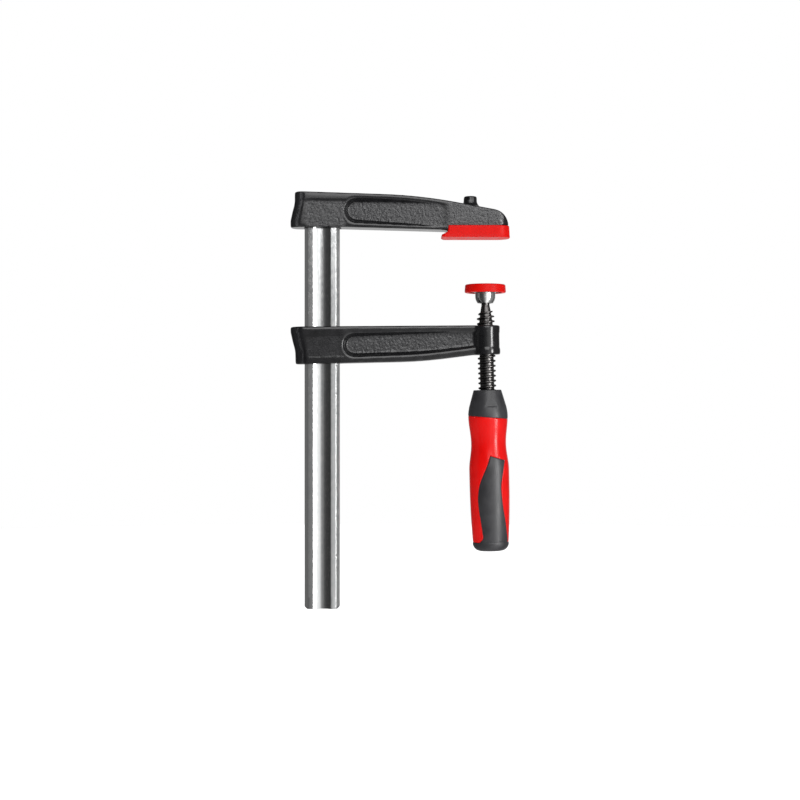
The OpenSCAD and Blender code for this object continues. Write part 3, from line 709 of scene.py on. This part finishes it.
def sliding_arm():
    """Cast sliding arm: a rough band over the rail, rough pockets and a smooth threaded boss."""
    web_t, taper_x = 12.4, -98.0
    pocket_x, pocket_z, pocket_rim = -90.3, -71.3, 9.6
    strip_low, strip_high = -79.2, -64.8
    boss_r, bore_r = 10.4, 8.0
    boss_lines, line_w, line_d = (-63.1, -74.9), 0.4, 0.35
    left_x = RAIL_X - RAIL_W / 2
    sharp = cad_surface("sliding_arm")
    body = softened(sharp, CAST_EDGE_R, CAST_CORNER_R, CAST_VOXEL)
    sharp_bore = distance_grid(sharp, CAST_VOXEL, CAST_REACH)

    def along_arm(x, z):
        """Distance from the screw and height, along the leaning arm."""
        along, up = x - BALL[0], z - BALL[2]
        local_x = along * SCREW_RIGHT[0] + up * SCREW_RIGHT[2]
        return local_x, along * SCREW_UP[0] + up * SCREW_UP[2] + BALL[2]

    def half_thickness(local_x):
        """Half the arm's thickness, which tapers from the rail to the boss."""
        return ARM_T / 2 - np.maximum(0, local_x - taper_x) * (ARM_T - web_t) / 2 / -taper_x

    def band_at(local_x, local_z):
        """1 on the low band over the rail, between its two steps and clear of the pocket's rim."""
        between = smooth((strip_high - local_z) / 0.6) * smooth((local_z - strip_low) / 0.4)
        to_rim = np.hypot(local_x - pocket_x, local_z - pocket_z) - pocket_rim
        return between * smooth(to_rim / 0.5) * (local_x < pocket_x) * smooth((local_x - left_x + 1) / 4)

    def lines_at(local_x, y, local_z):
        """Fine lines round the boss, where its ends were dressed."""
        line = sum(np.exp(-(((local_z - at) / line_w) ** 2)) for at in boss_lines)
        return line * smooth((boss_r - np.hypot(local_x, y)) / 0.4)

    def roughness_at(x, y, z):
        local_x, local_z = along_arm(x, z)
        hollow = smooth((half_thickness(local_x) - 0.4 - np.abs(y)) / 0.5)
        rough = np.maximum(hollow, 0.03 + 0.25 * band_at(local_x, local_z))
        return rough * smooth((np.hypot(local_x, y) - boss_r) / 0.8)

    def cast_skin(field, x, y, z):
        local_x, local_z = along_arm(x, z)
        side = half_thickness(local_x) - SLIDER_STEP_D * band_at(local_x, local_z)
        field = np.maximum(field, np.abs(y) - np.where(local_x < pocket_x, side, ARM_T))
        rough = roughness_at(x, y, z) * facing_out(skin_normal(field))
        skinned = field + CAST_GRAIN * (rough * grain(field.shape, GRAIN_BLUR) + GRAIN_SINK)
        skinned += line_d * lines_at(local_x, y, local_z)
        bore = np.full(field.shape, sharp_bore.background, np.float32)
        start = cell(round(float(v.ravel()[0]) / CAST_VOXEL) for v in (x, y, z))
        sharp_bore.copyToArray(bore, ijk=start)
        # the threaded bore stays sharp and smooth, and a little wider than the screw needs
        return np.where(np.hypot(local_x, y) < bore_r, np.maximum(bore + BORE_ROOM, field), skinned)

    surface = reshaped(body, CAST_VOXEL, CAST_REACH, cast_skin)
    obj = surface_object("sliding_arm_casting", surface, "sliding_arm")
    rough_cast(obj, roughness_at, SLIDER_DUST)
    return finished(obj, "sliding_arm", "slider", "black_enamel")


# ---------------------------------------------------------------- caps

MOULD_R, MOULD_VOXEL = 0.35, 0.3
TURNED_SEGMENTS = 160


def fixed_jaw_cap():
    """Moulded cap pushed over the fixed arm's nose, with all its edges rounded."""
    surface = softened(cad_surface("fixed_jaw_cap"), MOULD_R, MOULD_R, MOULD_VOXEL)
    obj = surface_object("fixed_jaw_cap_moulding", surface, "fixed_jaw_cap")
    relaxed(obj, 3, np.ones(len(obj.data.vertices)))
    return finished(obj, "fixed_jaw_cap", "frame", "red_cap_plastic")


def plate_cap():
    """A shallow cup pushed over the pressure plate, with a rolled-in lip."""
    top, bottom = CAP_HIGH[2], CAP_LOW[2]
    outer = (CAP_HIGH[0] - CAP_LOW[0]) / 2
    inner = outer - 1.85
    floor = top - 1.95
    profile = rounded(
        [
            (0.01, top - 0.12), (outer - 3.2, top - 0.05), (outer - 2.6, top), (outer - 0.45, top),
            (outer, bottom), (inner - 0.8, bottom), (inner - 0.8, bottom + 0.6), (inner, bottom + 0.75),
            (inner, floor), (0.01, floor),
        ],
        0.9, 7, closed=False,
    )
    obj = revolved("plate_cap_moulding", profile, TURNED_SEGMENTS, row_space)
    weighted_normals(obj)
    return finished(obj, "plate_cap", "plate", "red_cap_plastic")


# ---------------------------------------------------------------- pressure plate, ball and snap ring

BALL_R, BALL_GAP = 4.4, 0.1
CUP_CAVITY_R, MOUTH_R = 5.6, 4.1
CUP_R, CUP_END_R, CUP_END_DROP = 6.95, 5.2, 4.6
DISC_H = 3.0


def pressure_plate():
    """Turned plate with the cup that snaps over the ball."""
    disc_top = PLATE_HIGH[2] - BALL[2]
    disc_r = (PLATE_HIGH[0] - PLATE_LOW[0]) / 2
    disc_bottom = disc_top - DISC_H
    outside = rounded(
        [
            (0.01, disc_top), (disc_r, disc_top), (disc_r, disc_bottom), (CUP_R + 0.9, disc_bottom),
            (CUP_R, disc_bottom - 0.9), (CUP_R - 0.1, -1.0), (CUP_R - 0.55, -2.6),
            (CUP_END_R + 0.55, -3.8), (CUP_END_R, -CUP_END_DROP), (MOUTH_R, -CUP_END_DROP),
            (MOUTH_R, -CUP_END_DROP + 0.7),
        ],
        0.55, 5, closed=False,
    )
    seat_r, ledge = BALL_R + BALL_GAP, 1.2
    mouth = math.degrees(math.acos(MOUTH_R / CUP_CAVITY_R))
    cavity_top = math.degrees(math.asin(ledge / CUP_CAVITY_R))
    seat_start = math.degrees(math.asin(ledge / seat_r))
    inside = arc((0, 0), CUP_CAVITY_R, -mouth, cavity_top, 12) + arc((0, 0), seat_r, seat_start, 89.9, 16)
    obj = revolved("pressure_plate_turning", [*outside, *inside], TURNED_SEGMENTS, about_ball)
    weighted_normals(obj)
    return finished(obj, "pressure_plate", "plate", "zinc_plate")


def ball_snap_ring():
    """Split ring of round wire under the ball, with rounded ends."""
    ring_r, wire_r, split = 3.95, 0.5, 24
    end_shares = (0.55, 0.88)
    drop = math.sqrt((BALL_R + BALL_GAP + wire_r) ** 2 - ring_r**2)
    turns = np.radians(np.linspace(split / 2, 360 - split / 2, 97))
    wire = np.linspace(0, 2 * np.pi, 20, endpoint=False)
    rings = []
    for i, turn in enumerate(turns):
        from_end = min(i, len(turns) - 1 - i)
        r = wire_r * (end_shares[from_end] if from_end < len(end_shares) else 1.0)
        radius, height = ring_r + r * np.cos(wire), r * np.sin(wire) - drop
        rings.append(np.stack([radius * math.cos(turn), radius * math.sin(turn), height], -1))
    obj = ring_surface("ball_snap_ring_wire", screw_space(np.array(rings)))
    return finished(obj, "ball_snap_ring", "screw_carriage", "spring_steel")


# ---------------------------------------------------------------- spindle

THREAD_R, ROOT_R = 6.15, 4.85
CREST_W, FLANK_W = 0.8, 0.55
NECK_R, NECK_END, NECK_TAPER = 2.8, -6.5, 13.5
THREAD_TOP, THREAD_BOTTOM, THREAD_FADE = -11.4, -67.0, 2.7
SHANK_R, SHANK_BOTTOM = 4.4, -128.0
TANG_W, TANG_T, TANG_H = 14.0, 3.0, 20.0
TURN_STEPS = 72


def neck_radius(z):
    """Radius of the neck, which widens until it reaches the thread's root."""
    return NECK_R + (ROOT_R - NECK_R) * np.clip((NECK_END - z) / NECK_TAPER, 0, 1) ** 0.75


def thread_profile():
    """(height over the pitch, share of the thread's depth) for one turn, with rolled crest and root."""
    root_w = LEAD - CREST_W - 2 * FLANK_W
    corners = [
        (0, 0), (root_w, 0), (root_w + FLANK_W, 1), (root_w + FLANK_W + CREST_W, 1), (LEAD, 0),
    ]
    shape = rounded(corners, 0.3, 3, closed=False)[:-1]
    return shape[:, 0], shape[:, 1]


def spindle():
    """Ball, neck, rolled thread, shank and the flattened wings that key it in the handle."""
    heights, depths = thread_profile()
    turns = math.floor((THREAD_TOP - THREAD_BOTTOM) / LEAD)
    steps = turns * TURN_STEPS
    rings = []
    for i in range(steps + 1):
        z = THREAD_BOTTOM + i * LEAD / TURN_STEPS + heights
        fade = np.clip(np.minimum(z - THREAD_BOTTOM, THREAD_TOP - z) / THREAD_FADE, 0, 1)
        root = np.minimum(ROOT_R, neck_radius(z) - 0.1)
        crest = ROOT_R + (THREAD_R - ROOT_R) * fade
        radius = root + np.maximum(crest - root, 0) * depths
        a = 2 * math.pi * i / TURN_STEPS
        rings.append(np.stack([radius * math.cos(a), radius * math.sin(a), z], -1))
    rings = np.array(rings)
    per_ring = len(heights)
    faces = []
    for i in range(steps):
        for j in range(per_ring):
            here, after = i * per_ring + j, (i + 1) * per_ring + j
            if j + 1 < per_ring:
                faces.append((here, after, after + 1, here + 1))
            elif i + TURN_STEPS + 1 <= steps:
                above = (i + TURN_STEPS) * per_ring
                faces.append((here, after, above + per_ring, above))
    thread = mesh_object("spindle_forging", screw_space(rings).reshape(-1, 3), faces)

    z_neck = NECK_END - NECK_TAPER * np.linspace(0, 1, 25) ** 1.5
    ball = arc((0, 0), BALL_R, 89.9, -math.degrees(math.acos(NECK_R / BALL_R)), 40)
    core = [
        *ball, *((neck_radius(z), z) for z in z_neck), (ROOT_R - 0.02, THREAD_BOTTOM + 1),
        (SHANK_R, THREAD_BOTTOM - 0.5), (SHANK_R, SHANK_BOTTOM + 0.6), (SHANK_R - 0.6, SHANK_BOTTOM),
        (0.01, SHANK_BOTTOM),
    ]
    neck = revolved("spindle_core", core, 96, screw_space)
    for piece in (thread, neck, tang()):
        finished(piece, "spindle", "screw", "spindle_steel")


def tang():
    """The flattened wings at the spindle's hidden end."""
    x, y = TANG_W / 2, TANG_T / 2
    outline = rounded([(-x, -y), (x, -y), (x, y), (-x, y)], 1.0, 5)
    levels = [(0.85, 0.0), (0.97, 0.8), (1.0, 2.0), (1.0, TANG_H - 5), (0.9, TANG_H - 2), (0.62, TANG_H)]
    rings = np.array([
        np.column_stack([outline[:, 0] * share, outline[:, 1], np.full(len(outline), SHANK_BOTTOM + up)])
        for share, up in levels
    ])
    return ring_surface("spindle_tang", screw_space(rings))


# ---------------------------------------------------------------- handle

HANDLE_TOP = -64.1
HANDLE_L = 110.4
CONE_R, CONE_H, CONE_END_R = 9.5, 11.6, 12.8
RIDGE_R, RIDGE_S = 13.55, 17.7
WAIST_R, WAIST_S = 12.0, 36.9
BELLY_R, BELLY_S, BELLY_CREST_S = 13.7, 55.0, 64.0
BASE_R, BASE_S = 12.3, 104.3
END_ROUND_R = 5.4
COLLAR_S, COLLAR_TILT = 18.8, math.radians(5.5)
SOFT_T = 1.8
CORE_S, CORE_SUNK = 14.0, 0.9
PANEL_PROUD = 0.15
PANEL_TOP_SLOPE = 0.31
LEFT_LEAN, RIGHT_LEAN, TOP_LEAN = 0.93, 0.98, 0.95
PANEL_RIGHT = [(48.2, 10.4), (56.5, 8.9), (65.5, 7.5), (72, 7.65), (78, 8.2), (90.5, 10), (102, 11.3)]
PANEL_LEFT = [(45, 0.2), (50, -1.4), (56, -3.9), (61, -6.1), (66.5, -7.75), (73, -8.6), (80, -8.4),
              (90, -7.1), (97, -6.25), (102.3, -6.4), (104.3, -8.4)]


def handle_radius(s):
    """Radius of the handle at a distance below its top."""
    s = np.asarray(s, float)
    cone = CONE_R + (CONE_END_R - CONE_R) * s / CONE_H
    past_cone = np.clip((s - CONE_H) / (RIDGE_S - CONE_H), 0, 1)
    shoulder = CONE_END_R + (RIDGE_R - CONE_END_R) * np.sin(np.pi / 2 * past_cone)
    waist = RIDGE_R - (RIDGE_R - WAIST_R) * ease((s - RIDGE_S) / (WAIST_S - RIDGE_S))
    belly = WAIST_R + (BELLY_R - WAIST_R) * ease((s - WAIST_S) / (BELLY_S - WAIST_S))
    past_crest = np.maximum(s - BELLY_CREST_S, 0) / (BASE_S - BELLY_CREST_S)
    base = BELLY_R - (BELLY_R - BASE_R) * past_crest**2
    parts = [s < CONE_H, s < RIDGE_S, s < WAIST_S, s < BELLY_S]
    return np.select(parts, [cone, shoulder, waist, belly], base)


def curve_at(points, s):
    """Smooth curve through (s, value) points: cubic pieces with slopes from the neighbouring points."""
    knots, values = np.array(points, float).T
    slopes = np.gradient(values, knots)
    i = np.clip(np.searchsorted(knots, s) - 1, 0, len(knots) - 2)
    step = knots[i + 1] - knots[i]
    t = np.clip((s - knots[i]) / step, 0, 1)
    return (
        (2 * t**3 - 3 * t**2 + 1) * values[i] + (t**3 - 2 * t**2 + t) * step * slopes[i]
        + (3 * t**2 - 2 * t**3) * values[i + 1] + (t**3 - t**2) * step * slopes[i + 1]
    )


def panel_distance(across, s):
    """Rough distance to the edge of a soft panel seen from the front: negative inside it."""
    left = curve_at(PANEL_LEFT, s) - across
    right = across - curve_at(PANEL_RIGHT, s)
    corner_s, corner_x = PANEL_LEFT[0]
    top = (corner_s + (across - corner_x) * PANEL_TOP_SLOPE) - s
    sides = np.maximum(left * LEFT_LEAN, right * RIGHT_LEAN)
    return np.minimum(np.maximum(sides, top * TOP_LEAN), BASE_S - s)


def grip_distance(x, y, s):
    """The same on the whole handle, whose back is its front turned half round."""
    return panel_distance(np.where(y < 0, x, -x), s)


def handle_core():
    """Hard red body; a fine groove runs where the soft panels meet it."""
    core_end, row_step = BASE_S - 0.1, 0.45
    rows = np.linspace(CORE_S, core_end, int((core_end - CORE_S) / row_step) + 1)
    profile = [
        (0.01, HANDLE_TOP - CORE_S), *((handle_radius(s), HANDLE_TOP - s) for s in rows),
        (0.01, HANDLE_TOP - core_end),
    ]

    def fitted(angle, height):
        """Sinks the core under the soft panels and under the collar."""
        s = HANDLE_TOP - height
        radius = handle_radius(s)
        x, y = radius * np.cos(angle), radius * np.sin(angle)
        edge = grip_distance(x, y, s)
        under_panel = smooth((0.25 - edge) / 0.5)
        collar_edge = COLLAR_S + x * math.tan(COLLAR_TILT)
        under_collar = smooth((collar_edge - s + 0.3) / 0.6)
        sunk = CORE_SUNK * np.maximum(under_panel, under_collar)
        sunk[0], sunk[-1] = 0, 0
        return -sunk

    obj = revolved("handle_core_moulding", profile, 288, screw_space, radius_change=fitted)
    return finished(obj, "handle_core", "screw", "red_handle_plastic")


def handle_collar():
    """Soft collar, conical then rounded, with a flat on its front and back and a slanted lower edge."""
    flat_top, flat_end, flat_at = 10.4, 12.0, math.radians(-81)
    steps, knee_w, no_flat = 60, 0.16, 99
    angles = np.linspace(0, 2 * np.pi, 240, endpoint=False)
    rings = []
    edge = COLLAR_S + RIDGE_R * np.cos(angles) * math.tan(COLLAR_TILT)
    mouth_r = THREAD_R + 0.3

    def ring(radius, s):
        rings.append(np.stack([radius * np.cos(angles), radius * np.sin(angles), HANDLE_TOP - s], -1))

    def outer(s):
        """Radius of the outside, cut by the two flats above the cone's lower end."""
        away = np.abs(np.cos(angles - flat_at))
        flat = flat_top + (flat_end - flat_top) * s / CONE_H
        flat = np.where(s < CONE_H - 0.1, flat / np.maximum(away, 0.5), no_flat)
        return np.minimum(handle_radius(s), flat)

    zero = np.zeros_like(angles)
    ring(zero + mouth_r, zero + 4.0)
    ring(zero + mouth_r, zero + 0.5)
    ring(zero + mouth_r + 0.45, zero + 0.05)
    ring(zero + CONE_R - 0.6, zero)
    ring(zero + CONE_R - 0.12, zero + 0.12)
    for k in range(1, steps + 1):
        s = (edge - 0.35) * k / steps
        beside_knee = CONE_H - knee_w + 2 * knee_w * (s > CONE_H)
        s = np.where(np.abs(s - CONE_H) < knee_w, beside_knee, s)
        ring(outer(s), s)
    ring(handle_radius(edge) - 0.12, edge - 0.08)
    ring(handle_radius(edge) - 0.4, edge)
    ring(handle_radius(edge) - SOFT_T, edge)
    ring(handle_radius(zero + CORE_S) - SOFT_T - 0.3, zero + CORE_S)
    ring(zero + mouth_r + 0.3, zero + CORE_S)
    obj = ring_surface("handle_collar_moulding", screw_space(np.array(rings)), closed=True)
    return finished(obj, "handle_collar", "screw", "soft_grip")


def handle_grip():
    """Soft panels on the front and the back that run into the rounded end cap."""
    voxel, inset, far = 0.34, 0.3, 9.0
    cap_floor = 0.5
    panels_end, between_panels = BASE_S - 4, 1.0
    low, high = box_mm("handle_grip")
    start = np.floor((low - 1) / voxel).astype(int)
    shape = np.ceil((high + 1) / voxel).astype(int) - start
    x, y, z = grid_axes(start, shape, voxel)
    along, up = x - BALL[0], z - BALL[2]
    across = along * SCREW_RIGHT[0] + up * SCREW_RIGHT[2]
    s = HANDLE_TOP - (along * SCREW_UP[0] + up * SCREW_UP[2])
    radius = np.hypot(across, y)
    outer = handle_radius(np.minimum(s, BASE_S)) + PANEL_PROUD
    end_s = HANDLE_L - inset - s
    wall = radius - (outer - inset)
    corner = END_ROUND_R - inset
    end_in = np.maximum(wall + corner, 0), np.maximum(-end_s + corner, 0)
    round_end = np.minimum(np.maximum(wall + corner, -end_s + corner), 0) + np.hypot(*end_in) - corner
    inner = handle_radius(np.minimum(s, BASE_S)) - SOFT_T
    hollow = np.where(s > BASE_S - cap_floor, -(s - BASE_S + cap_floor - inset), inner + inset - radius)
    edge = grip_distance(across, y, s) + inset
    field = np.maximum(np.maximum(round_end, hollow), np.broadcast_to(edge, shape))
    # the front and back panels stay apart where their outlines would meet round the side
    field = np.maximum(field, np.where(s < panels_end, between_panels - np.abs(y), -far))
    grid = vdb.FloatGrid(far)
    grid.transform = vdb.createLinearTransform(voxelSize=voxel)
    grid.copyFromArray(np.clip(field, -far, far).astype(np.float32), ijk=cell(start))
    # made smaller by the inset and then moved out by it, which rounds the edges
    surface = moved_out(grid.convertToPolygons(), inset, voxel)
    obj = surface_object("handle_grip_moulding", surface, "handle_grip")
    return finished(obj, "handle_grip", "screw", "soft_grip")


# ---------------------------------------------------------------- the whole clamp


def build_clamp():
    """Makes every piece, in a fixed order because the castings share one row of random numbers."""
    for build in (
        rail, fixed_arm, sliding_arm, fixed_jaw_cap, plate_cap, pressure_plate,
        ball_snap_ring, spindle, handle_core, handle_collar, handle_grip,
    ):
        build()


# ---------------------------------------------------------------- camera, floor and light

CAMERA_X, CAMERA_DISTANCE, CAMERA_Z = -58.6, 1100.0, -111.0
LENS, SENSOR = 72, 36
FLOOR_GAP = 0.002
FLOOR_R = 2500.0
FLOOR_GLOW = 1.0
# brightness of the room's walls by azimuth: 0 is the camera's side, positive to +X
WALLS = [
    (-180, 0.75), (-165, 0.45), (-150, 0.12), (-130, 0.06), (-110, 0.08), (-90, 0.2), (-73, 0.2),
    (-68, 0.045), (-33, 0.065), (-25, 0.1), (-17, 0.13), (-9, 0.32), (-2, 0.28), (2, 0.45), (5, 0.6),
    (13, 1.15), (28, 1.35), (34, 1.5), (58, 1.5), (61, 0.3), (104, 0.25), (118, 0.1), (135, 0.12),
    (150, 0.5), (180, 0.75),
]
CEILING_START, CEILING_FULL, CEILING = 0.6, 0.85, 0.1


def camera():
    """A long lens straight in front of the clamp."""
    data = bpy.data.cameras.new("camera")
    data.lens = LENS
    data.sensor_width = SENSOR
    obj = bpy.data.objects.new("camera", data)
    obj.location = (CAMERA_X * MM, -CAMERA_DISTANCE * MM, CAMERA_Z * MM)
    obj.rotation_euler = (math.radians(90), 0, 0)
    bpy.context.scene.collection.objects.link(obj)
    bpy.context.scene.camera = obj


def floor():
    """Pale glowing floor, just below the lowest the handle can reach, and left out of reflections."""
    material = new_material("floor", (0.85, 0.85, 0.85), 0.0, 0.8)
    shader = material.node_tree.nodes["Principled BSDF"]
    shader.inputs["Emission Color"].default_value = (1, 1, 1, 1)
    shader.inputs["Emission Strength"].default_value = FLOOR_GLOW
    angles = np.linspace(0, 2 * np.pi, 96, endpoint=False)
    rings = np.array([
        [(r * math.cos(a), r * math.sin(a), 0.0) for a in angles] for r in (FLOOR_R, 0.01)
    ])
    obj = mesh_object("floor", rings.reshape(-1, 3), ring_faces(*rings.shape[:2], False))
    reach = sum(JOINTS[name]["range_m"][0] for name in ("arm_slide", "spindle_feed"))
    lowest = min(cad_box[0][2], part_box("handle_grip")[0][2] + reach)
    obj.location = (RAIL_X / 2 * MM, 0, lowest - FLOOR_GAP)
    obj.visible_glossy = False
    obj.data.materials.append(material)


def softbox(name, azimuth, elevation, distance, width, height, radiance, only_shine):
    """A rectangular light that looks at the clamp, with its azimuth as for the walls."""
    data = bpy.data.lights.new(name, "AREA")
    data.shape = "RECTANGLE"
    data.size, data.size_y = width, height
    data.energy = radiance * math.pi * width * height
    obj = bpy.data.objects.new(name, data)
    a, e = math.radians(azimuth), math.radians(elevation)
    centre = np.array([CAMERA_X * MM, 0, CAMERA_Z * MM])
    direction = np.array([math.sin(a) * math.cos(e), -math.cos(a) * math.cos(e), math.sin(e)])
    obj.location = centre + direction * distance
    obj.rotation_euler = (math.pi / 2 - e, 0, a)
    obj.visible_diffuse = not only_shine
    bpy.context.scene.collection.objects.link(obj)


def surroundings(walls):
    """White to the camera; elsewhere grey walls given as (azimuth, brightness) under a dark ceiling."""
    world = bpy.data.worlds.new("studio")
    bpy.context.scene.world = world
    world.use_nodes = True
    nodes, links = world.node_tree.nodes, world.node_tree.links
    place = nodes.new("ShaderNodeTexCoord")
    axes = nodes.new("ShaderNodeSeparateXYZ")
    links.new(place.outputs["Generated"], axes.inputs["Vector"])
    front = calculated(world, "MULTIPLY", axes.outputs["Y"], -1)
    azimuth = calculated(world, "ARCTAN2", axes.outputs["X"], front)
    ramp = nodes.new("ShaderNodeValToRGB")
    links.new(ranged(world, azimuth, 0, 1, -math.pi, math.pi), ramp.inputs["Fac"])
    stops = ramp.color_ramp.elements
    while len(stops) > 1:
        stops.remove(stops[-1])
    stops[0].position = 0
    for i, (angle, brightness) in enumerate(walls):
        stop = stops[0] if i == 0 else stops.new((angle + 180) / 360)
        stop.color = (brightness, brightness, brightness, 1)
    height = ranged(world, axes.outputs["Z"], 0, 1, CEILING_START, CEILING_FULL)
    room = blended(world, height, ramp.outputs["Color"], (CEILING, CEILING, CEILING))
    seen = nodes.new("ShaderNodeLightPath")
    shown = blended(world, seen.outputs["Is Camera Ray"], room, (1, 1, 1))
    links.new(shown, nodes["Background"].inputs["Color"])


def studio():
    """White behind, a soft key light at the right that shines more than it lights, and a soft front."""
    surroundings(WALLS)
    for name, azimuth, elevation, distance, width, height, radiance, only_shine in (
        ("key", 48, 10, 1.5, 0.3, 1.5, 3.0, False),
        ("key_shine", 48, -2, 1.49, 0.3, 0.62, 17.0, True),
        ("front", 6, 31.5, 1.6, 0.9, 1.14, 3.2, False),
    ):
        softbox(name, azimuth, elevation, distance, width, height, radiance, only_shine)
    bpy.context.scene.view_settings.view_transform = "Standard"


camera()
build_clamp()
floor()
studio()
